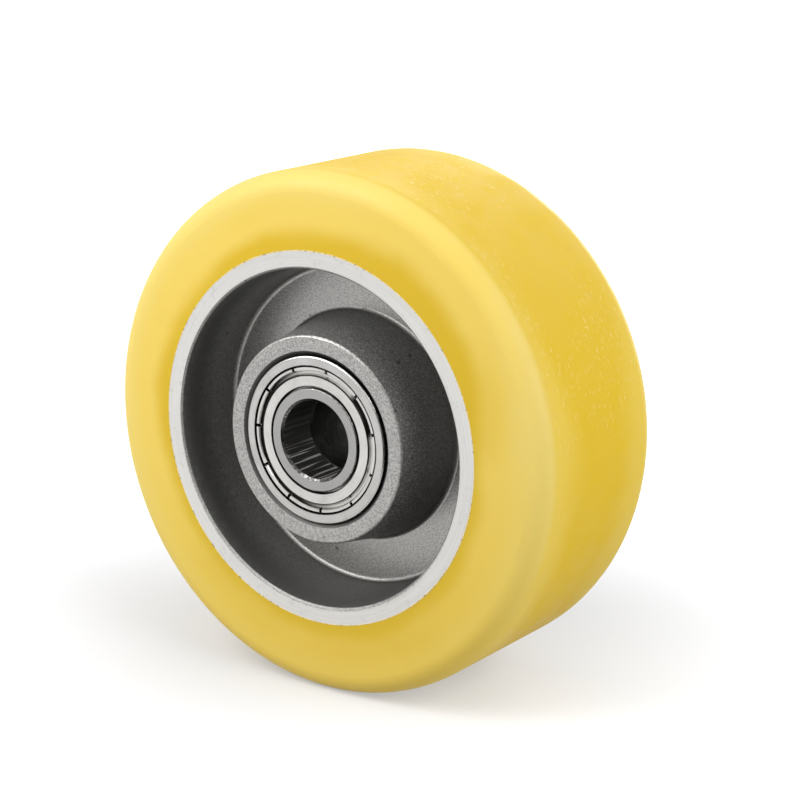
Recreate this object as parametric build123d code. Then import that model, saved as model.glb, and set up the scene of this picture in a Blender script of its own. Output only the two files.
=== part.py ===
from build123d import *
import os
from math import radians, tan

# Support wheel with a cast core, a bonded tread and two shielded ball bearings.
# +Y is the axle's axis, the front face looks towards -Y, +Z is up.
# The origin is the wheel's centre: the middle of the width, on the axis.
# Every round section is drawn as (radius, y) and turned about +Y. All lengths are in mm.

# Wheel and tread
wheel_diameter = 100.0
wheel_width = 40.0
side_fall = 1.1  # how far the tread's side face drops back between the rim and its outer corner
shoulder_radius = 4.2

# Cast core
rim_diameter = 71.0  # outside of the rim, where the tread is bonded on
rim_wall = 3.3  # at the machined rim face
rim_edge_chamfer = 0.35
rim_draft_deg = 4.4
rim_fillet = 0.9
web_thickness = 11.0
hub_diameter = 39.5
hub_recess = 0.1  # the cast hub face stands this far back from the bearing's face
hub_edge_radius = 0.4
hub_draft_deg = 9.2
hub_fillet = 0.8
seat_chamfer = 0.9
seat_shoulder = 1.7  # height of the step that each bearing is pressed against

# Ball bearing, 15 x 32 x 9
bearing_bore = 15.0
bearing_outside = 32.0
bearing_width = 9.0
bearing_inset = 0.0  # from the wheel's side plane to the bearing's face
ball_diameter = 4.762
ball_count = 9
ball_play = 0.01  # between a ball and each raceway
race_conformity = 0.52  # groove radius over ball diameter
outer_corner = 0.5
outer_land_rise = 1.35  # from the ring of ball centres out to the outer ring's land
inner_land_drop = 1.5  # and in to the inner ring's land
inner_step = 0.4  # the inner ring's ends are turned down by this much, to pass under the shield
inner_corner = 0.25
bore_chamfer = 0.45

# Pressed shield, snapped into the outer ring
shield_seat = 1.0  # height of the ledge in the outer ring that the shield is pressed against
shield_recess_depth = 1.05
snap_groove_depth = 0.25
snap_groove_start = 0.5
shield_sheet = 0.25
shield_gap = 0.45  # between the shield and the inner ring
shield_inset = 0.2  # from the bearing's face to the flat of the shield
shield_valley_depth = 0.5
shield_valley_width = 0.4
shield_slope_width = 0.35
shield_bead_width = 0.45
shield_bead_gap = 0.3  # between the bead and the outer ring's recess
shield_edge_play = 0.05
tab_count = 11
tab_slot_width = 0.6
tab_slot_phase_deg = 78.5  # direction of the first slot, from +X towards +Z

# Pressed cage in two riveted halves
cage_sheet = 0.4
cage_play = 0.5  # between the cage and the land of each ring
pocket_play = 0.1
rivet_diameter = 0.8
rivet_head_diameter = 1.5
rivet_head_height = 0.3

# Spacer tube between the inner rings
spacer_play = 0.05  # its bore is this much wider than the bearings' bore, on the radius
spacer_outside = 19.0
spacer_chamfer = 0.2

# Radii and planes that the pieces share
half_width = wheel_width / 2
rim_radius = rim_diameter / 2
hub_face_y = half_width - hub_recess
bearing_face_y = half_width - bearing_inset
seat_floor_y = bearing_face_y - bearing_width
ball_radius = ball_diameter / 2
pitch_radius = (bearing_bore + bearing_outside) / 4
race_radius = race_conformity * ball_diameter
mid_race = bearing_width / 2
outer_land = pitch_radius + outer_land_rise
inner_land = pitch_radius - inner_land_drop
inner_face = inner_land - inner_step
shield_recess = outer_land + shield_seat
ball_step_deg = 360 / ball_count
first_ball_deg = ball_step_deg / 4
first_rivet_deg = first_ball_deg + ball_step_deg / 2


def turned(corners, rounds=(), cuts=()):
    """A solid turned about +Y from (radius, y) corners.

    rounds lists (corner, fillet radius), and cuts lists (centre, radius) of round grooves.
    """
    section = make_face(Polyline(*corners, close=True))
    for corner, radius in rounds:
        nearest = section.vertices().sort_by_distance(corner)[0]
        section = fillet(nearest, radius)
    for centre, radius in cuts:
        section -= Pos(*centre) * Circle(radius)
    return revolve(section, Axis.Y)


def both_sides(half):
    """A closed outline from its corners at positive y, listed from the bore outwards."""
    return half + [(r, -y) for r, y in reversed(half)]


def mirrored(rounds):
    """The same roundings at both ends of a section that is symmetric about y = 0."""
    return [((r, s * y), radius) for (r, y), radius in rounds for s in (1, -1)]


def ring(inner, outer, low, high):
    """A plain tube about +Y between two radii and two heights."""
    return turned([(inner, low), (outer, low), (outer, high), (inner, high)])


def around(piece, count, phase_deg=0.0):
    """Copies of a piece spread evenly about +Y, turning from +X towards +Z."""
    return [Rot(0, -phase_deg - 360 * n / count, 0) * piece for n in range(count)]


# Tread and core

def make_tread():
    """Ring of cast polyurethane with rounded shoulders, bonded to the rim."""
    corner = (wheel_diameter / 2, half_width - side_fall)
    half = [(rim_radius, half_width), corner]
    return turned(both_sides(half), mirrored([(corner, shoulder_radius)]))


def make_core():
    """One casting: drafted rim, web and hub, with a stepped bore for the two bearings."""
    web_y = web_thickness / 2
    rim_inside = rim_radius - rim_wall
    rim_at_web = rim_inside - (half_width - web_y) * tan(radians(rim_draft_deg))
    hub_radius = hub_diameter / 2
    hub_at_web = hub_radius + (hub_face_y - web_y) * tan(radians(hub_draft_deg))
    seat_radius = bearing_outside / 2
    hub_edge = (hub_radius, hub_face_y)
    hub_root = (hub_at_web, web_y)
    rim_root = (rim_at_web, web_y)
    half = [
        (seat_radius - seat_shoulder, seat_floor_y),
        (seat_radius, seat_floor_y),
        (seat_radius, hub_face_y - seat_chamfer),
        (seat_radius + seat_chamfer, hub_face_y),
        hub_edge,
        hub_root,
        rim_root,
        (rim_inside, half_width - rim_edge_chamfer),
        (rim_inside + rim_edge_chamfer, half_width),
        (rim_radius, half_width),
    ]
    rounds = [(hub_edge, hub_edge_radius), (hub_root, hub_fillet), (rim_root, rim_fillet)]
    return turned(both_sides(half), mirrored(rounds))


def make_spacer():
    """Tube that keeps the inner rings apart when the axle bolt is tightened."""
    inner = bearing_bore / 2 + spacer_play
    half = [
        (inner, seat_floor_y - spacer_chamfer),
        (inner + spacer_chamfer, seat_floor_y),
        (spacer_outside / 2, seat_floor_y),
    ]
    return turned(both_sides(half))


# Bearing pieces, drawn with the middle of the bearing at y = 0 and its outer face towards -Y

def make_outer_ring():
    """Outer ring with its raceway, and at each end a recess with a snap groove for the shield."""
    end = bearing_width / 2
    outside = bearing_outside / 2
    groove = shield_recess + snap_groove_depth
    ledge = end - shield_recess_depth
    half = [
        (outer_land, ledge),
        (groove, ledge),
        (groove, end - snap_groove_start - snap_groove_depth),
        (shield_recess, end - snap_groove_start),
        (shield_recess, end),
        (outside, end),
    ]
    centre = pitch_radius + ball_radius + ball_play - race_radius
    rounds = mirrored([((outside, end), outer_corner)])
    return turned(both_sides(half), rounds, [((centre, 0), race_radius)])


def make_inner_ring():
    """Inner ring with its raceway, stepped down at each end to clear the shield."""
    end = bearing_width / 2
    bore = bearing_bore / 2
    step = end - shield_recess_depth
    face_edge = (inner_face, end)
    half = [
        (bore, end - bore_chamfer),
        (bore + bore_chamfer, end),
        face_edge,
        (inner_face, step),
        (inner_land, step),
    ]
    centre = pitch_radius - ball_radius - ball_play + race_radius
    return turned(both_sides(half), mirrored([(face_edge, inner_corner)]), [((centre, 0), race_radius)])


def sheet_section(path, thickness):
    """Closed outline of a bent sheet: the path on one side, and its parallel at the thickness."""
    edges = [Vector(*b) - Vector(*a) for a, b in zip(path, path[1:])]
    normals = [Vector(-e.Y, e.X).normalized() for e in edges]
    normals = [normals[0]] + normals + [normals[-1]]
    parallel = []
    for point, before, after in zip(path, normals, normals[1:]):
        bisector = before + after
        offset = bisector * (2 * thickness / bisector.dot(bisector))
        parallel.append((point[0] + offset.X, point[1] + offset.Y))
    return path + parallel[::-1]


def make_shield():
    """Pressed disc at the bearing's outer face: flat, valley, then a bead cut into snap tabs."""
    face = -bearing_width / 2
    flat_y = face + shield_inset
    valley_y = flat_y + shield_valley_depth
    bead = shield_recess - shield_bead_gap - shield_bead_width
    valley = bead - shield_slope_width - shield_valley_width
    flat_end = valley - shield_slope_width
    tab_slot_start = valley + shield_valley_width
    edge = shield_recess + snap_groove_depth - shield_edge_play
    path = [
        (inner_face + shield_gap, flat_y),
        (flat_end, flat_y),
        (valley, valley_y),
        (valley + shield_valley_width, valley_y),
        (bead, flat_y),
        (bead + shield_bead_width, flat_y),
        (edge, face + snap_groove_start + snap_groove_depth + shield_edge_play),
    ]
    disc = turned(sheet_section(path, shield_sheet))
    slot_end = edge + shield_sheet
    slot = Box(slot_end - tab_slot_start, bearing_width, tab_slot_width)
    slot = Pos((tab_slot_start + slot_end) / 2, face) * slot
    return disc - around(slot, tab_count, tab_slot_phase_deg)


def pitch_sphere(radius):
    """A sphere on the balls' pitch circle at +X, with its poles along the axle."""
    return Pos(pitch_radius) * Rot(90, 0, 0) * Sphere(radius)


def make_cage_half():
    """Half of the pressed cage on the side of -Y: a flat band with a cup round each ball."""
    inner = inner_land + cage_play
    outer = outer_land - cage_play
    pocket_radius = ball_radius + pocket_play
    cup_radius = pocket_radius + cage_sheet
    band = ring(inner, outer, -cage_sheet, 0)
    cups = Part() + around(pitch_sphere(cup_radius), ball_count, first_ball_deg)
    cups &= ring(inner, outer, -cup_radius, 0)
    pockets = around(pitch_sphere(pocket_radius), ball_count, first_ball_deg)
    hole = Pos(pitch_radius) * Rot(90, 0, 0) * Cylinder(rivet_diameter / 2, bearing_width)
    return band + cups - pockets - around(hole, ball_count, first_rivet_deg)


def make_rivets():
    """The rivets that hold the two cage halves together, each as its own solid."""
    shank = rivet_diameter / 2
    head = rivet_head_diameter / 2
    half = [
        (0, cage_sheet + rivet_head_height),
        (head, cage_sheet + rivet_head_height),
        (head, cage_sheet),
        (shank, cage_sheet),
    ]
    rivet = Pos(pitch_radius) * turned(both_sides(half))
    return Compound(around(rivet, ball_count, first_rivet_deg))


def bearing_pieces():
    """The pieces of one bearing by name, with its outer face towards -Y."""
    turn_over = Rot(0, 0, 180)
    shield = make_shield()
    cage_half = make_cage_half()
    pieces = {
        "outer_ring": make_outer_ring(),
        "inner_ring": make_inner_ring(),
        "outer_shield": shield,
        "inner_shield": turn_over * shield,
        "cage_outer_half": cage_half,
        "cage_inner_half": mirror(cage_half, Plane.XZ),
        "cage_rivets": make_rivets(),
    }
    balls = around(pitch_sphere(ball_radius), ball_count, first_ball_deg)
    for n, ball in enumerate(balls, 1):
        pieces[f"ball_{n}"] = ball
    return pieces


def make_parts():
    """Every piece of the wheel by its node's name, in its place."""
    parts = {"tread": make_tread(), "wheel_core": make_core(), "spacer_tube": make_spacer()}
    front = Pos(0, mid_race - bearing_face_y)
    rear = Rot(0, 0, 180) * front
    pieces = bearing_pieces()
    for side, place in (("front", front), ("rear", rear)):
        for name, piece in pieces.items():
            parts[f"{side}_{name}"] = place * piece
    return parts


os.makedirs("parts", exist_ok=True)
for name, solid in make_parts().items():
    export_step(solid, f"parts/{name}.step")
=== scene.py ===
import math
import random

import bpy
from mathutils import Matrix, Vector


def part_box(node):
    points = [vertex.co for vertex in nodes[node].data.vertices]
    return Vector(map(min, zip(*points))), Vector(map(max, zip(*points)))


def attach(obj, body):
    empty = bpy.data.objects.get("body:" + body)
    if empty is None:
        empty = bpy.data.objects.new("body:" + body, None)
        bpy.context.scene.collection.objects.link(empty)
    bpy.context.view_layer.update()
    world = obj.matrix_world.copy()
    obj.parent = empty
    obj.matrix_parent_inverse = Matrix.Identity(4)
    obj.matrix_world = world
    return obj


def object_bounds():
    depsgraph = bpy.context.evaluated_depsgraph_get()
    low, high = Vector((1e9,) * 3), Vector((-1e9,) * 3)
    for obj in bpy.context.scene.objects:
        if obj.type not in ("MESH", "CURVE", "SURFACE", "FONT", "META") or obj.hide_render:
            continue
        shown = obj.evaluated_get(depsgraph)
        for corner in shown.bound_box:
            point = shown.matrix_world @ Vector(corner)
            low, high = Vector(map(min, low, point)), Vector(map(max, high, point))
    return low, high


# Support wheel with a cast polyurethane tread, a cast aluminium core and two shielded bearings.
# Lengths are in metres. The axle lies along Y, the front face looks towards -Y, and Z is up.

MM = 0.001
SIDES = (("front", -1), ("rear", 1))


# The photograph's view

CAMERA_AZIMUTH = math.radians(35.51)
CAMERA_ELEVATION = math.radians(14.66)
CAMERA_DISTANCE = 419.3 * MM
CAMERA_LENS_MM = 101.97
SENSOR_MM = 36.0
AIM_RIGHT = 15.88 * MM
AIM_UP = 7.50 * MM


def place_camera(aim):
    """The camera at the photograph's angle, aimed a little right of and above the given point."""
    sin_a, cos_a = math.sin(CAMERA_AZIMUTH), math.cos(CAMERA_AZIMUTH)
    sin_e, cos_e = math.sin(CAMERA_ELEVATION), math.cos(CAMERA_ELEVATION)
    back = Vector((sin_a * cos_e, -cos_a * cos_e, sin_e))
    right = Vector((cos_a, sin_a, 0))
    up = back.cross(right)
    data = bpy.data.cameras.new("camera")
    data.sensor_width = SENSOR_MM
    data.lens = CAMERA_LENS_MM
    data.clip_start = 10 * MM
    camera = bpy.data.objects.new("camera", data)
    camera.location = aim + right * AIM_RIGHT + up * AIM_UP + back * CAMERA_DISTANCE
    camera.rotation_euler = back.to_track_quat("Z", "Y").to_euler()
    bpy.context.scene.collection.objects.link(camera)
    bpy.context.scene.camera = camera


# Distances from the axle

RIM_OUTSIDE = 35.5 * MM
RIM_INSIDE = 32.2 * MM
HUB_ROOT = (21.5 * MM, 27 * MM)
HUB_EDGE = 20 * MM
RING_OUTSIDE = 16 * MM
SHIELD_EDGE = 14.05 * MM
VALLEY = 12.7 * MM
FLAT_EDGE = 12.25 * MM
SHIELD_BORE = 10.15 * MM
BORE_ZONE = (10.5 * MM, 9.5 * MM)


# Where the polyurethane changes: distances from the axle, and on the tread from its middle

DEEP_BAND = (35.2 * MM, 39.8 * MM)
PALE_BAND = (41 * MM, 48.5 * MM)
# Painted shade at the bottom of the wheel grows from the inner to the outer end of this band
PAINTED_SHADE_BAND = (44 * MM, 48 * MM)
BLOTCHED_BAND = (46 * MM, 41 * MM)
TREAD_EDGE_BAND = (6 * MM, 15 * MM)
CLOUD_DRIFT = 9 * MM
DEEP_SIDE_DRIFT = 3 * MM


# The line of adhesive

BOND_STEPS = 540
BOND_WIDTH = 0.24 * MM
BOND_HEIGHT = 0.03 * MM
BOND_SUNK = 0.05 * MM
BOND_WAVES = ((3, 0.12), (11, 0.12), (37, 0.14), (83, 0.16), (151, 0.14))
BOND_SEED = 12


# Sides of the wheel that differ a little, as angles round the axle from the photograph's right

# Several of these sides place painted shade, painted highlights or a painted reflection
DEEP_SIDE = math.radians(45)
MARKED_SIDE = math.radians(75)
PAINTED_SHADE_SIDE = math.radians(275)
WORN_RIM_SIDE = math.radians(258)
DEEPER_WALL_SHADE_SIDE = math.radians(288)
SHADED_VALLEY_SIDE = math.radians(195)
DARK_VALLEY_SPOT = math.radians(30)
STREAK_HIGHLIGHT_SIDE = math.radians(248)


# Colours


def grey(level, warmth=0.0):
    """A grey, a little yellower as the warmth grows."""
    return (level, level * (1 - 0.3 * warmth), level * (1 - warmth), 1)


WHITE = (1, 1, 1, 1)
AMBER_DEEP = (0.73, 0.485, 0.026, 1)
# Painted shade on the polyurethane towards the bottom of the wheel
AMBER_PAINTED_SHADE = (0.80, 0.55, 0.05, 1)
AMBER_SIDE = (0.88, 0.645, 0.125, 1)
AMBER_SHOULDER = (0.88, 0.68, 0.18, 1)
AMBER_FLECK = (0.95, 0.80, 0.34, 1)
AMBER_TREAD = (0.80, 0.535, 0.02, 1)
AMBER_TREAD_EDGE = (0.85, 0.61, 0.08, 1)
DIRT = (0.10, 0.06, 0.02, 1)
# Painted shade: the casting's walls are darker than its faces, and darker still on one side
CAST_SHADED_WALL = grey(0.30, 0.05)
CAST_DEEPER_SHADED_WALL = grey(0.16, 0.05)
CAST_FACE = grey(0.42, 0.06)
CAST_PIT = grey(0.05)
# Painted shade at the hub's root, and the darker rough rim lip
CAST_ROOT = grey(0.11, 0.05)
# Painted glints near the hub's edge
CAST_SPARKLE = grey(0.95, 0.03)
# Painted shade in the bearing's seat chamfer
CAST_SEAT = grey(0.12, 0.05)
CAST_BURR = grey(0.13)
TURNED = (grey(0.64, 0.07), grey(0.72, 0.06))
TURNED_SCUFF = grey(0.42, 0.03)
GAP = grey(0.02)
STEEL_STAIN = grey(0.25, 0.1)
STEEL_GAP = grey(0.015)
SHIELD_STEEL = (grey(0.58, 0.07), grey(0.68, 0.07))
# Painted shade in the shield's pressed valley
SHIELD_DARK_VALLEY = grey(0.012, 0.15)
RING_STEEL = (grey(0.48, 0.06), grey(0.58, 0.06))
INNER_RING = grey(0.27, 0.05)
BORE_EDGE = (grey(0.07, 0.05), grey(0.24, 0.05))
# Painted shade in the bore, and painted highlights on its streaks
BORE = grey(0.08, 0.1)
BORE_STREAK_HIGHLIGHT = grey(1.0, 0.04)
CAGE_STEEL = (grey(0.40, 0.05), grey(0.52, 0.05))
# Painted shade: the spacer deep in the bore is near black
SHADED_SPACER_STEEL = (grey(0.02, 0.1), grey(0.05, 0.1))
CREAM = ((0.80, 0.62, 0.30, 1), (0.88, 0.76, 0.52, 1))
CREAM_SPECK = (0.20, 0.15, 0.08, 1)


# Floor, card, sky and lamps

FLOOR_GREY = (0.50, 0.505, 0.52, 1)
FLOOR_REACH = 3.0
# Painted shadow on the floor, greyest at a point beside the wheel
FLOOR_SHADE_REACH = 0.16
FLOOR_SHADE_GLOW = 0.25
FLOOR_DARKEST = (-0.025, 0.015)
FLOOR_IN_METAL = 0.4
CARD_BLACK = (0.02, 0.02, 0.02, 1)
CARD_AZIMUTH = math.radians(52)
CARD_NEAR = 0.10
CARD_FAR = 0.30
CARD_HIGH = 0.16
CARD_HALF_WIDTH = 0.16
CARD_ABOVE_FLOOR = 1 * MM
SKY_LIGHT = 0.24
# Name, place, width in metres and power in watts
LAMPS = (
    ("key", (-0.26, -0.34, 0.34), 0.4, 2.7),
    ("side", (0.75, -0.10, 0.35), 0.6, 4.3),
    ("rear", (-0.10, 0.70, 0.10), 0.6, 3.6),
    ("top", (0.05, 0.25, 0.9), 0.8, 0.6),
)


# Node helpers

FLOAT = "NodeSocketFloat"
GROUPS = bpy.data.node_groups


def feed(tree, socket, value):
    """Link a socket to another one, or set it to a value."""
    if isinstance(value, bpy.types.NodeSocket):
        tree.links.new(value, socket)
    else:
        socket.default_value = value


def add(tree, kind, inputs=None, **settings):
    """A new node with its settings and its inputs."""
    item = tree.nodes.new(kind)
    for name, value in settings.items():
        setattr(item, name, value)
    for name, value in (inputs or {}).items():
        feed(tree, item.inputs[name], value)
    return item


def calc(tree, operation, *values):
    """One math node's result."""
    item = add(tree, "ShaderNodeMath", dict(enumerate(values)), operation=operation)
    return item.outputs[0]


def times(tree, first, second):
    """Two values multiplied."""
    return calc(tree, "MULTIPLY", first, second)


def between(tree, factor, first, second):
    """A value between two others."""
    return add(tree, "ShaderNodeMix", {0: factor, 2: first, 3: second}).outputs[0]


def object_place(tree):
    """The place on the piece, which moves with it."""
    return tree.nodes.new("ShaderNodeTexCoord").outputs["Object"]


def smooth(tree, value, low, high, out_low=0.0, out_high=1.0):
    """A value eased from one range to another, and held at its ends."""
    inputs = {"Value": value, "From Min": low, "From Max": high, "To Min": out_low, "To Max": out_high}
    return add(tree, "ShaderNodeMapRange", inputs, interpolation_type="SMOOTHSTEP").outputs["Result"]


def blend(tree, factor, first, second, mode="MIX"):
    """Two colours mixed by a factor."""
    inputs = {0: factor, 6: first, 7: second}
    item = add(tree, "ShaderNodeMix", inputs, data_type="RGBA", blend_type=mode)
    return item.outputs[2]


def noise(tree, vector, scale, detail=2.0, roughness=0.5):
    """A noise value from 0 to 1."""
    inputs = {"Vector": vector, "Scale": scale, "Detail": detail, "Roughness": roughness}
    return add(tree, "ShaderNodeTexNoise", inputs).outputs["Fac"]


def bump(tree, height, strength, distance):
    """A normal from a height."""
    inputs = {"Height": height, "Strength": strength, "Distance": distance}
    return add(tree, "ShaderNodeBump", inputs).outputs["Normal"]


def new_group(name, inputs, outputs):
    """A node group, with its sockets given as (name, kind, default). Returns the tree and its two ends."""
    tree = GROUPS.new(name, "ShaderNodeTree")
    for label, kind, default in inputs:
        socket = tree.interface.new_socket(name=label, in_out="INPUT", socket_type=kind)
        socket.default_value = default
    for label, kind in outputs:
        tree.interface.new_socket(name=label, in_out="OUTPUT", socket_type=kind)
    start = tree.nodes.new("NodeGroupInput")
    end = tree.nodes.new("NodeGroupOutput")
    return tree, start.outputs, end.inputs


def use(tree, group, **inputs):
    """A named group placed in a tree. Underscores in the inputs' names stand for spaces."""
    item = tree.nodes.new("ShaderNodeGroup")
    item.node_tree = GROUPS[group]
    for name, value in inputs.items():
        feed(tree, item.inputs[name.replace("_", " ")], value)
    return item.outputs


def new_material(name, **constants):
    """A material, its tree and its Principled shader, with the shader's constant inputs set."""
    material = bpy.data.materials.new(name)
    material.use_nodes = True
    tree = material.node_tree
    shader = tree.nodes["Principled BSDF"]
    for label, value in constants.items():
        shader.inputs[label.replace("_", " ")].default_value = value
    return material, tree, shader


# Effects that more than one material uses


def one_side(tree, direction, start=-0.2, end=0.6, low=0.0):
    """How much a point lies on one side of the wheel, from the group of that name."""
    return use(tree, "one side", Direction=direction, Start=start, End=end, Low=low)["Share"]


def seam(tree, centre, width, roughen=0.0, grain=900.0):
    """A ring-shaped mask, from the group of that name."""
    return use(tree, "seam", Centre=centre, Width=width, Roughen=roughen, Grain=grain)["Mask"]


def turned_lines(tree, across, around, on_rim=0.0):
    """The height of tool marks that run round the axle, from the group of that name."""
    return use(tree, "turned lines", Across=across, Around=around, On_Rim=on_rim)["Height"]


def unrolled(tree, wheel, around, beside):
    """A place for noise that closes round the axle, with another value as its third direction."""
    angle = times(tree, wheel["Turn"], math.tau)
    turned_x = times(tree, calc(tree, "COSINE", angle), around)
    turned_z = times(tree, calc(tree, "SINE", angle), around)
    inputs = {"X": turned_x, "Y": turned_z, "Z": beside}
    return add(tree, "ShaderNodeCombineXYZ", inputs).outputs["Vector"]


def build_wheel_coordinates():
    """Distance from the axle, place along it, angle round it in turns, and how much it faces outwards."""
    outputs = [("Radius", FLOAT), ("Along", FLOAT), ("Turn", FLOAT), ("Facing", FLOAT)]
    tree, _, ends = new_group("wheel coordinates", [], outputs)
    place = tree.nodes.new("ShaderNodeTexCoord")
    part = add(tree, "ShaderNodeSeparateXYZ", {"Vector": place.outputs["Object"]}).outputs
    across = times(tree, part["X"], part["X"])
    upward = times(tree, part["Z"], part["Z"])
    feed(tree, ends["Radius"], calc(tree, "SQRT", calc(tree, "ADD", across, upward)))
    feed(tree, ends["Along"], part["Y"])
    feed(tree, ends["Turn"], calc(tree, "DIVIDE", calc(tree, "ARCTAN2", part["Z"], part["X"]), math.tau))
    normal = add(tree, "ShaderNodeSeparateXYZ", {"Vector": place.outputs["Normal"]}).outputs
    feed(tree, ends["Facing"], calc(tree, "ABSOLUTE", normal["Y"]))


def build_cast_grain():
    """Pebbled grain of a blasted casting: light and dark grains, and scattered dark pits."""
    inputs = [("Grain Scale", FLOAT, 3300.0), ("Pit Scale", FLOAT, 500.0), ("Pit Size", FLOAT, 0.28)]
    outputs = [("Height", FLOAT), ("Speckle", FLOAT), ("Pits", FLOAT)]
    tree, start, ends = new_group("cast grain", inputs, outputs)
    place = object_place(tree)
    grain = noise(tree, place, start["Grain Scale"], 2.0, 0.7)
    cells = add(tree, "ShaderNodeTexVoronoi", {"Vector": place, "Scale": start["Pit Scale"]})
    chosen = add(tree, "ShaderNodeSeparateColor", {"Color": cells.outputs["Color"]}).outputs[0]
    spot = smooth(tree, cells.outputs["Distance"], start["Pit Size"], 0.1)
    pits = times(tree, calc(tree, "LESS_THAN", chosen, 0.06), spot)
    feed(tree, ends["Pits"], pits)
    feed(tree, ends["Speckle"], grain)
    feed(tree, ends["Height"], calc(tree, "SUBTRACT", grain, pits))


def build_turned_lines():
    """Tool marks that run round the axle, fine across and long along."""
    inputs = [("Across", FLOAT, 4000.0), ("Around", FLOAT, 6.0), ("On Rim", FLOAT, 0.0)]
    tree, start, ends = new_group("turned lines", inputs, [("Height", FLOAT)])
    wheel = use(tree, "wheel coordinates")
    across = between(tree, start["On Rim"], wheel["Radius"], wheel["Along"])
    line = unrolled(tree, wheel, start["Around"], times(tree, across, start["Across"]))
    feed(tree, ends["Height"], noise(tree, line, 1.0, 2.0, 0.6))


def build_one_side():
    """A mask that is strong in one direction from the axle and weak in the other."""
    inputs = [("Direction", FLOAT, 0.0), ("Start", FLOAT, -0.2)]
    inputs += [("End", FLOAT, 0.6), ("Low", FLOAT, 0.0)]
    tree, start, ends = new_group("one side", inputs, [("Share", FLOAT)])
    wheel = use(tree, "wheel coordinates")
    angle = times(tree, wheel["Turn"], math.tau)
    aligned = calc(tree, "COSINE", calc(tree, "SUBTRACT", angle, start["Direction"]))
    feed(tree, ends["Share"], smooth(tree, aligned, start["Start"], start["End"], start["Low"], 1.0))


def build_ragged_bite():
    """How far the casting's rough skin bites into the turned rim face, most on one side."""
    inputs = [("Direction", FLOAT, WORN_RIM_SIDE), ("Reach", FLOAT, 0.8 * MM), ("Grain", FLOAT, 700.0)]
    tree, start, ends = new_group("ragged bite", inputs, [("Depth", FLOAT)])
    place = object_place(tree)
    share = one_side(tree, start["Direction"], 0.2, 1.0, 0.12)
    ragged = smooth(tree, noise(tree, place, start["Grain"], 4.0, 0.7), 0.3, 0.75)
    feed(tree, ends["Depth"], times(tree, times(tree, share, ragged), start["Reach"]))


def build_axial_streaks():
    """Honing streaks that run along a bore, unevenly spread round it, which the bore shows as painted
    highlights.
    """
    inputs = [("Around", FLOAT, 16.0), ("Along", FLOAT, 60.0)]
    tree, start, ends = new_group("axial streaks", inputs, [("Mask", FLOAT)])
    wheel = use(tree, "wheel coordinates")
    line = unrolled(tree, wheel, start["Around"], times(tree, wheel["Along"], start["Along"]))
    feed(tree, ends["Mask"], smooth(tree, noise(tree, line, 1.0, 2.0, 0.6), 0.54, 0.60))


def build_seam():
    """A ring-shaped mask at one distance from the axle, with an uneven edge."""
    inputs = [("Centre", FLOAT, 10 * MM), ("Width", FLOAT, 1 * MM)]
    inputs += [("Roughen", FLOAT, 0.0), ("Grain", FLOAT, 900.0)]
    tree, start, ends = new_group("seam", inputs, [("Mask", FLOAT)])
    wheel = use(tree, "wheel coordinates")
    place = object_place(tree)
    ragged = calc(tree, "SUBTRACT", noise(tree, place, start["Grain"], 3.0, 0.6), 0.5)
    reach = calc(tree, "ADD", wheel["Radius"], times(tree, ragged, start["Roughen"]))
    apart = calc(tree, "ABSOLUTE", calc(tree, "SUBTRACT", reach, start["Centre"]))
    feed(tree, ends["Mask"], smooth(tree, apart, start["Width"], 0.0))


# Materials


def paint(node, material):
    """Give a CAD node its material."""
    node.material_slots[0].material = material


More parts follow.
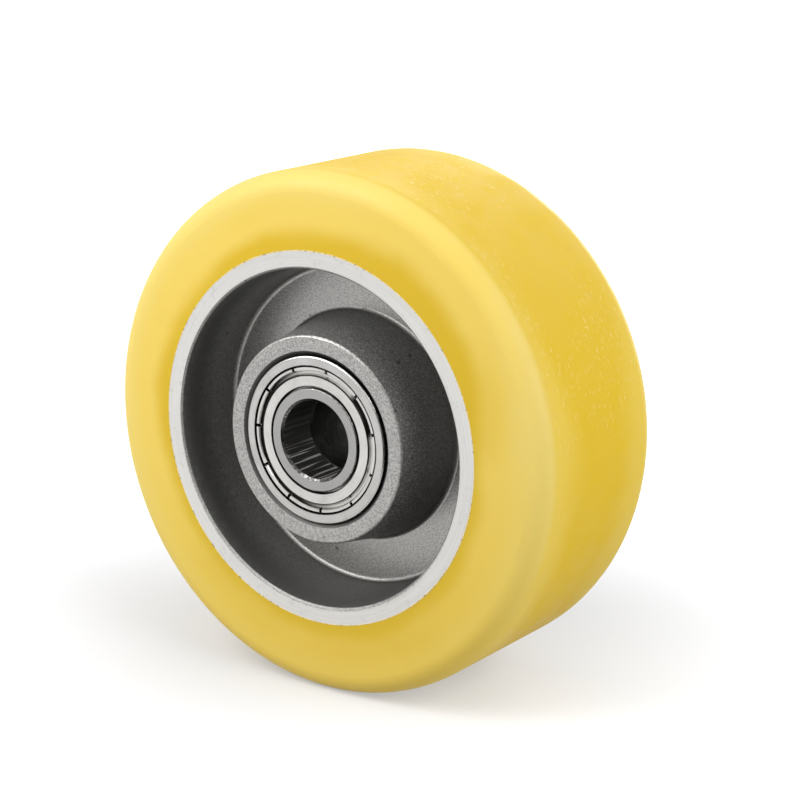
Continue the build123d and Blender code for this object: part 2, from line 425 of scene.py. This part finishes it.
def make_polyurethane():
    """Amber cast polyurethane: deep at the rim, pale and cloudy at the shoulders, honey on the tread, with
    painted shade.
    """
    glow = {"Subsurface_Weight": 0.12, "Subsurface_Scale": 2 * MM, "Subsurface_Radius": (1.0, 0.6, 0.15)}
    finish = {"IOR": 1.5, "Specular_IOR_Level": 0.22}
    material, tree, shader = new_material("amber polyurethane", **finish, **glow)
    wheel = use(tree, "wheel coordinates")
    place = object_place(tree)
    cloud = noise(tree, place, 34.0, 4.0, 0.5)
    drift = times(tree, calc(tree, "SUBTRACT", cloud, 0.5), CLOUD_DRIFT)
    # Painted reflection: towards the upper right the deep amber reaches further out
    lobe = one_side(tree, DEEP_SIDE, 0.7, 1.0)
    drift = calc(tree, "SUBTRACT", drift, times(tree, lobe, DEEP_SIDE_DRIFT))
    reach = calc(tree, "ADD", wheel["Radius"], drift)
    # The deep amber next to the rim is partly the polyurethane's own colour and partly painted shade
    side = blend(tree, smooth(tree, reach, *DEEP_BAND), AMBER_DEEP, AMBER_SIDE)
    side = blend(tree, smooth(tree, reach, *PALE_BAND), side, AMBER_SHOULDER)
    # Painted shade: the face and shoulder turn deeper amber towards the bottom of the wheel, most at the
    # shoulder
    shade_share = one_side(tree, PAINTED_SHADE_SIDE, 0.0, 0.9)
    outer = smooth(tree, wheel["Radius"], *PAINTED_SHADE_BAND, 0.4, 0.6)
    side = blend(tree, times(tree, shade_share, outer), side, AMBER_PAINTED_SHADE)
    on_rim = smooth(tree, wheel["Facing"], 0.45, 0.02)
    inward = calc(tree, "ABSOLUTE", wheel["Along"])
    to_edge = smooth(tree, calc(tree, "ADD", inward, drift), *TREAD_EDGE_BAND)
    tread = blend(tree, to_edge, AMBER_TREAD, AMBER_TREAD_EDGE)
    colour = blend(tree, on_rim, side, tread)
    blotch = smooth(tree, noise(tree, place, 42.0, 1.0, 0.4), 0.50, 0.72)
    blotch = times(tree, blotch, smooth(tree, wheel["Radius"], *BLOTCHED_BAND))
    colour = blend(tree, times(tree, blotch, 0.4), colour, AMBER_DEEP)
    specks = add(tree, "ShaderNodeTexVoronoi", {"Vector": place, "Scale": 170.0})
    chosen = add(tree, "ShaderNodeSeparateColor", {"Color": specks.outputs["Color"]}).outputs[0]
    speck = smooth(tree, specks.outputs["Distance"], 0.09, 0.04)
    speck = times(tree, calc(tree, "LESS_THAN", chosen, 0.03), speck)
    colour = blend(tree, times(tree, speck, 0.7), colour, DIRT)
    dashes = turned_lines(tree, 3800.0, 38.0, 1.0)
    patches = smooth(tree, noise(tree, place, 45.0, 2.0), 0.40, 0.52)
    dashes = times(tree, smooth(tree, dashes, 0.62, 0.68), times(tree, patches, on_rim))
    crown = one_side(tree, MARKED_SIDE, -0.2, 0.9, 0.2)
    colour = blend(tree, times(tree, dashes, times(tree, crown, 0.6)), colour, AMBER_FLECK)
    feed(tree, shader.inputs["Base Color"], colour)
    lines = turned_lines(tree, 3600.0, 7.0, 1.0)
    sweep = turned_lines(tree, 900.0, 1.5)
    worn = smooth(tree, noise(tree, place, 220.0, 3.0, 0.6), 0.35, 0.7, 0.0, 0.12)
    rough = smooth(tree, on_rim, 0.0, 1.0, 0.42, 0.46)
    feed(tree, shader.inputs["Roughness"], calc(tree, "ADD", rough, worn))
    marks = times(tree, lines, on_rim)
    swell = times(tree, calc(tree, "ADD", noise(tree, place, 160.0, 2.0), sweep), 0.3)
    feed(tree, shader.inputs["Normal"], bump(tree, calc(tree, "ADD", marks, swell), 0.3, 0.08 * MM))
    return material


def make_cast_aluminium():
    """Die-cast core: blasted grey skin with bright and dark grains, painted glints and painted shade, and
    turned pale rim faces.
    """
    material, tree, shader = new_material("cast aluminium", Metallic=1.0)
    wheel = use(tree, "wheel coordinates")
    grain = use(tree, "cast grain")
    lines = turned_lines(tree, 5200.0, 2.0)
    place = object_place(tree)
    facing = smooth(tree, wheel["Facing"], 0.3, 0.95)
    # Painted shade: walls darker than faces, darker still towards the bottom of the wheel
    deeper_shade_share = one_side(tree, DEEPER_WALL_SHADE_SIDE, 0.3, 0.95)
    skin = blend(tree, deeper_shade_share, CAST_SHADED_WALL, CAST_DEEPER_SHADED_WALL)
    skin = blend(tree, facing, skin, CAST_FACE)
    bite = use(tree, "ragged bite")["Depth"]
    cut_radius = calc(tree, "SUBTRACT", wheel["Radius"], bite)
    outer = smooth(tree, cut_radius, RIM_INSIDE - 0.02 * MM, RIM_INSIDE + 0.02 * MM)
    machined = times(tree, outer, smooth(tree, wheel["Facing"], 0.8, 0.96))
    tone = smooth(tree, grain["Speckle"], 0.30, 0.70, 0.62, 1.22)
    tone = add(tree, "ShaderNodeCombineColor", {0: tone, 1: tone, 2: tone}).outputs[0]
    skin = blend(tree, 1.0, skin, tone, "MULTIPLY")
    skin = blend(tree, times(tree, grain["Pits"], 0.6), skin, CAST_PIT)
    bright = blend(tree, smooth(tree, lines, 0.25, 0.75), *TURNED)
    scuff = smooth(tree, noise(tree, place, 520.0, 4.0, 0.7), 0.55, 0.75)
    bright = blend(tree, times(tree, scuff, 0.35), bright, TURNED_SCUFF)
    # Painted shade in the fillet at the hub's root; the rim's inner lip is also darker and rough
    curve = smooth(tree, wheel["Facing"], 0.35, 0.6)
    curve = times(tree, curve, smooth(tree, wheel["Facing"], 0.99, 0.94))
    root = smooth(tree, wheel["Radius"], HUB_ROOT[0] - 1 * MM, HUB_ROOT[0])
    root = times(tree, root, smooth(tree, wheel["Radius"], HUB_ROOT[1] + 1 * MM, HUB_ROOT[1]))
    lip = seam(tree, RIM_INSIDE - 0.25 * MM, 0.5 * MM, 0.3 * MM)
    root_shade_and_lip = calc(tree, "MAXIMUM", times(tree, times(tree, curve, root), 0.7), lip)
    skin = blend(tree, times(tree, root_shade_and_lip, 0.85), skin, CAST_ROOT)
    # Painted glints: pale specks on the walls near the hub's edge
    sparkle = smooth(tree, noise(tree, place, 3600.0, 2.0, 0.6), 0.5, 0.66)
    near_hub = smooth(tree, wheel["Radius"], HUB_EDGE + 3 * MM, HUB_EDGE, 0.0, 0.42)
    on_wall = smooth(tree, facing, 0.6, 0.2)
    skin = blend(tree, times(tree, sparkle, times(tree, near_hub, on_wall)), skin, CAST_SPARKLE)
    burr = seam(tree, RIM_INSIDE, 0.8 * MM, 0.9 * MM, 1800.0)
    worn = one_side(tree, WORN_RIM_SIDE, 0.0, 0.7, 0.12)
    bright = blend(tree, times(tree, times(tree, burr, worn), 0.9), bright, CAST_BURR)
    # Painted shade in the seat chamfer round the bearing
    seat = seam(tree, RING_OUTSIDE + 0.45 * MM, 0.5 * MM, 0.15 * MM)
    skin = blend(tree, smooth(tree, seat, 0.0, 0.3), skin, CAST_SEAT)
    gap = seam(tree, RING_OUTSIDE, 0.12 * MM)
    colour = blend(tree, machined, skin, bright)
    colour = blend(tree, times(tree, gap, 0.9), colour, GAP)
    feed(tree, shader.inputs["Base Color"], colour)
    rough = smooth(tree, wheel["Facing"], 0.8, 0.995, 0.6, 0.33)
    rough = calc(tree, "ADD", smooth(tree, grain["Speckle"], 0.3, 0.7, -0.06, 0.06), rough)
    feed(tree, shader.inputs["Roughness"], between(tree, machined, rough, 0.36))
    cut = times(tree, calc(tree, "ADD", lines, scuff), times(tree, machined, 0.12))
    rest = calc(tree, "SUBTRACT", 1.0, machined)
    height = calc(tree, "ADD", times(tree, grain["Height"], rest), cut)
    feed(tree, shader.inputs["Normal"], bump(tree, height, 0.55, 0.06 * MM))
    return material


def make_steel(name, tones, roughness, across, around, on_rim=0.0, gaps=()):
    """Ground or pressed steel with fine lines round the axle, and a dark oil line at each gap."""
    material, tree, shader = new_material(name, Metallic=1.0, Anisotropic=0.5)
    spin = add(tree, "ShaderNodeTangent", direction_type="RADIAL", axis="Y").outputs["Tangent"]
    feed(tree, shader.inputs["Tangent"], spin)
    place = object_place(tree)
    lines = turned_lines(tree, across, around, on_rim)
    stain = smooth(tree, noise(tree, place, 260.0, 4.0, 0.6), 0.4, 0.75)
    colour = blend(tree, smooth(tree, lines, 0.25, 0.75), *tones)
    colour = blend(tree, times(tree, stain, 0.22), colour, STEEL_STAIN)
    for radius, width in gaps:
        gap = seam(tree, radius, width, 0.1 * MM)
        colour = blend(tree, times(tree, smooth(tree, gap, 0.0, 0.6), 0.95), colour, STEEL_GAP)
    feed(tree, shader.inputs["Base Color"], colour)
    polish = smooth(tree, lines, 0.2, 0.8, roughness, roughness + 0.07)
    feed(tree, shader.inputs["Roughness"], calc(tree, "ADD", polish, times(tree, stain, 0.06)))
    feed(tree, shader.inputs["Normal"], bump(tree, lines, 0.3, 0.02 * MM))
    return material


def make_shield_steel():
    """Bright pressed sheet, with painted shade dark in one side of the pressed valley."""
    gaps = [(SHIELD_BORE, 0.3 * MM), (FLAT_EDGE, 0.2 * MM), (SHIELD_EDGE, 0.35 * MM)]
    material = make_steel("shield steel", SHIELD_STEEL, 0.25, 9000.0, 2.0, gaps=gaps)
    tree = material.node_tree
    shader = tree.nodes["Principled BSDF"]
    pressed = shader.inputs["Base Color"].links[0].from_socket
    # Painted shade: the valley is dark on one side of the wheel, and in a narrow spot on another
    valley = seam(tree, VALLEY, 0.75 * MM, 0.2 * MM)
    shaded_side = one_side(tree, SHADED_VALLEY_SIDE, low=0.12)
    spot = one_side(tree, DARK_VALLEY_SPOT, 0.92, 0.97)
    dark_valley = times(tree, smooth(tree, valley, 0.15, 0.5), calc(tree, "MAXIMUM", shaded_side, spot))
    feed(tree, shader.inputs["Base Color"], blend(tree, dark_valley, pressed, SHIELD_DARK_VALLEY))
    return material


def make_ring_steel():
    """Ground bearing steel: pale lapped faces, bores and races darkened with painted shade, and painted
    highlights on bore streaks.
    """
    gaps = [(RING_OUTSIDE, 0.16 * MM), (SHIELD_BORE + 0.05 * MM, 0.4 * MM)]
    gaps += [(SHIELD_EDGE - 0.05 * MM, 0.35 * MM)]
    material = make_steel("bearing steel", RING_STEEL, 0.2, 6500.0, 3.0, gaps=gaps)
    tree = material.node_tree
    shader = tree.nodes["Principled BSDF"]
    lapped = shader.inputs["Base Color"].links[0].from_socket
    wheel = use(tree, "wheel coordinates")
    inside = smooth(tree, wheel["Facing"], 0.6, 0.2)
    inner = smooth(tree, wheel["Radius"], *BORE_ZONE)
    face = blend(tree, times(tree, inner, 0.6), lapped, INNER_RING)
    edge = times(tree, inner, smooth(tree, wheel["Facing"], 0.97, 0.88))
    place = object_place(tree)
    nicks = smooth(tree, noise(tree, place, 1400.0, 2.0), 0.5, 0.62)
    face = blend(tree, edge, face, blend(tree, nicks, *BORE_EDGE))
    # Painted shade: the bore and races are dark; honing streaks are painted highlights, mostly on the
    # lower left
    shaded_bore = times(tree, inside, inner)
    streaks = use(tree, "axial streaks", Around=9.0, Along=35.0)["Mask"]
    highlight_share = one_side(tree, STREAK_HIGHLIGHT_SIDE, 0.55, 0.95, 0.09)
    bore = blend(tree, times(tree, streaks, highlight_share), BORE, BORE_STREAK_HIGHLIGHT)
    feed(tree, shader.inputs["Base Color"], blend(tree, shaded_bore, face, bore))
    polish = shader.inputs["Roughness"].links[0].from_socket
    feed(tree, shader.inputs["Roughness"], between(tree, shaded_bore, polish, 0.55))
    return material


def make_bond():
    """Cream adhesive squeezed out between the core and the polyurethane, with dark specks."""
    material, tree, shader = new_material("bond line", Roughness=0.6)
    place = object_place(tree)
    speck = smooth(tree, noise(tree, place, 1500.0, 3.0, 0.6), 0.52, 0.66)
    cream = blend(tree, noise(tree, place, 400.0), *CREAM)
    feed(tree, shader.inputs["Base Color"], blend(tree, speck, cream, CREAM_SPECK))
    feed(tree, shader.inputs["Normal"], bump(tree, speck, 0.4, 0.05 * MM))
    return material


# Pieces made here


def new_piece(name, points, faces, material):
    """A mesh with its material, put in the scene."""
    mesh = bpy.data.meshes.new(name)
    mesh.from_pydata(points, [], faces)
    mesh.materials.append(material)
    piece = bpy.data.objects.new(name, mesh)
    bpy.context.scene.collection.objects.link(piece)
    return piece


def make_bond_line(side, sign, material, face_y, random_source):
    """A thin uneven bead of adhesive along the outer edge of a rim face."""
    phases = [(random_source.uniform(0, math.tau), turns, height) for turns, height in BOND_WAVES]
    rows = []
    for step in range(BOND_STEPS):
        angle = math.tau * step / BOND_STEPS
        wave = sum(height * math.sin(turns * angle + phase) for phase, turns, height in phases)
        half = BOND_WIDTH / 2 * (1 + wave)
        top = BOND_HEIGHT * (1 + wave)
        outline = ((-half, -BOND_SUNK), (-half / 2, top), (half / 2, top), (half, -BOND_SUNK))
        section = [(RIM_OUTSIDE + away, face_y + sign * rise) for away, rise in outline]
        rows.append([(r * math.cos(angle), y, r * math.sin(angle)) for r, y in section])
    width = len(rows[0])
    points = [point for row in rows for point in row]
    faces = []
    for step in range(BOND_STEPS):
        here = step * width
        ahead = (step + 1) % BOND_STEPS * width
        for place in range(width):
            beside = (place + 1) % width
            corners = (here + place, here + beside, ahead + beside, ahead + place)
            faces.append(corners if sign < 0 else corners[::-1])
    piece = new_piece(f"{side}_bond_line", points, faces, material)
    piece.data.polygons.foreach_set("use_smooth", [True] * len(faces))
    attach(piece, "wheel")


def make_floor(low):
    """A pale floor that turns white for the camera, keeps the wheel's shadow, and adds painted shadow
    beside the wheel.
    """
    finish = {"Base_Color": FLOOR_GREY, "Roughness": 1.0, "Specular_IOR_Level": 0.0}
    material, tree, shader = new_material("floor", Emission_Color=WHITE, **finish)
    path = tree.nodes.new("ShaderNodeLightPath").outputs
    place = object_place(tree)
    # Painted shadow: the floor glows less towards a point left of and behind the wheel, so it is greyer
    # there
    darkest = (*FLOOR_DARKEST, low)
    away = add(tree, "ShaderNodeVectorMath", {0: place, 1: darkest}, operation="DISTANCE")
    glow = smooth(tree, away.outputs["Value"], 0.0, FLOOR_SHADE_REACH, FLOOR_SHADE_GLOW, 1.0)
    seen = times(tree, path["Is Camera Ray"], glow)
    mirrored = times(tree, path["Is Glossy Ray"], FLOOR_IN_METAL)
    feed(tree, shader.inputs["Emission Strength"], calc(tree, "ADD", seen, mirrored))
    corners = [(x * FLOOR_REACH, y * FLOOR_REACH, low) for x, y in ((-1, -1), (1, -1), (1, 1), (-1, 1))]
    new_piece("floor", corners, [(0, 1, 2, 3)], material)


def make_dark_card(low):
    """A dark card at the front right, as beside a studio camera. Only reflections show it."""
    across = Vector((math.cos(CARD_AZIMUTH), math.sin(CARD_AZIMUTH), 0))
    along = Vector((math.sin(CARD_AZIMUTH), -math.cos(CARD_AZIMUTH), 0))
    foot = low + CARD_ABOVE_FLOOR
    profile = [along * reach + Vector((0, 0, height))
               for reach, height in ((CARD_NEAR, foot), (CARD_FAR, foot), (CARD_FAR, CARD_HIGH))]
    edges = (-CARD_HALF_WIDTH, CARD_HALF_WIDTH)
    points = [tuple(point + across * edge) for point in profile for edge in edges]
    finish = {"Base_Color": CARD_BLACK, "Roughness": 1.0, "Specular_IOR_Level": 0.0}
    material, _, _ = new_material("dark card", **finish)
    card = new_piece("dark card", points, [(0, 1, 3, 2), (2, 3, 5, 4)], material)
    card.visible_camera = False
    card.visible_diffuse = False
    card.visible_shadow = False
    card.visible_transmission = False


# Sky and lamps


def make_world():
    """A white surround for the camera and for reflections, and a softer one for the light."""
    world = bpy.data.worlds.new("studio")
    world.use_nodes = True
    tree = world.node_tree
    path = tree.nodes.new("ShaderNodeLightPath").outputs
    seen = calc(tree, "MAXIMUM", path["Is Camera Ray"], path["Is Glossy Ray"])
    seen = calc(tree, "MAXIMUM", seen, path["Is Transmission Ray"])
    strength = smooth(tree, seen, 0.0, 1.0, SKY_LIGHT, 1.0)
    background = tree.nodes["Background"]
    background.inputs["Color"].default_value = WHITE
    feed(tree, background.inputs["Strength"], strength)
    bpy.context.scene.world = world


def add_lamp(name, place, size, power):
    """A soft square lamp that faces the wheel's centre."""
    data = bpy.data.lights.new(name, "AREA")
    data.size = size
    data.energy = power
    lamp = bpy.data.objects.new(name, data)
    lamp.location = place
    lamp.rotation_euler = Vector(place).to_track_quat("Z", "Y").to_euler()
    bpy.context.scene.collection.objects.link(lamp)


# Scene

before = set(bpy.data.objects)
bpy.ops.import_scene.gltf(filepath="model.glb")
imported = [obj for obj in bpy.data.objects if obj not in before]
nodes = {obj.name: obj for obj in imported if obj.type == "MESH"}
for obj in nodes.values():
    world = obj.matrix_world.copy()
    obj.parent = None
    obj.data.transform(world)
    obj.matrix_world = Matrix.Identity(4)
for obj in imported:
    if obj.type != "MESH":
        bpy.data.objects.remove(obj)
cad_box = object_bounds()
bpy.context.scene.view_settings.view_transform = "Standard"
low = cad_box[0][2]
front_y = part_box("wheel_core")[0][1]
place_camera(Vector((0, front_y, 0)))

# Each group comes before the groups that use it
build_wheel_coordinates()
build_cast_grain()
build_turned_lines()
build_one_side()
build_ragged_bite()
build_axial_streaks()
build_seam()

amber = make_polyurethane()
cast = make_cast_aluminium()
ring_steel = make_ring_steel()
shield_steel = make_shield_steel()
cage_steel = make_steel("cage steel", CAGE_STEEL, 0.35, 9000.0, 4.0)
# The spacer's near-black steel is painted shade
shaded_spacer_steel = make_steel("spacer steel", SHADED_SPACER_STEEL, 0.3, 5000.0, 3.0, on_rim=1.0)
bond = make_bond()

paint(nodes["tread"], amber)
paint(nodes["wheel_core"], cast)
paint(nodes["spacer_tube"], shaded_spacer_steel)
seed = random.Random(BOND_SEED)
for side, sign in SIDES:
    for name in ("outer_ring", "inner_ring"):
        paint(nodes[f"{side}_{name}"], ring_steel)
    for name in ("outer_shield", "inner_shield"):
        paint(nodes[f"{side}_{name}"], shield_steel)
    for name in ("cage_outer_half", "cage_inner_half", "cage_rivets"):
        paint(nodes[f"{side}_{name}"], cage_steel)
    make_bond_line(side, sign, bond, sign * abs(front_y), seed)
for name, piece in nodes.items():
    if "_ball_" in name:
        paint(piece, ring_steel)

make_floor(low)
make_dark_card(low)
make_world()
for lamp in LAMPS:
    add_lamp(*lamp)
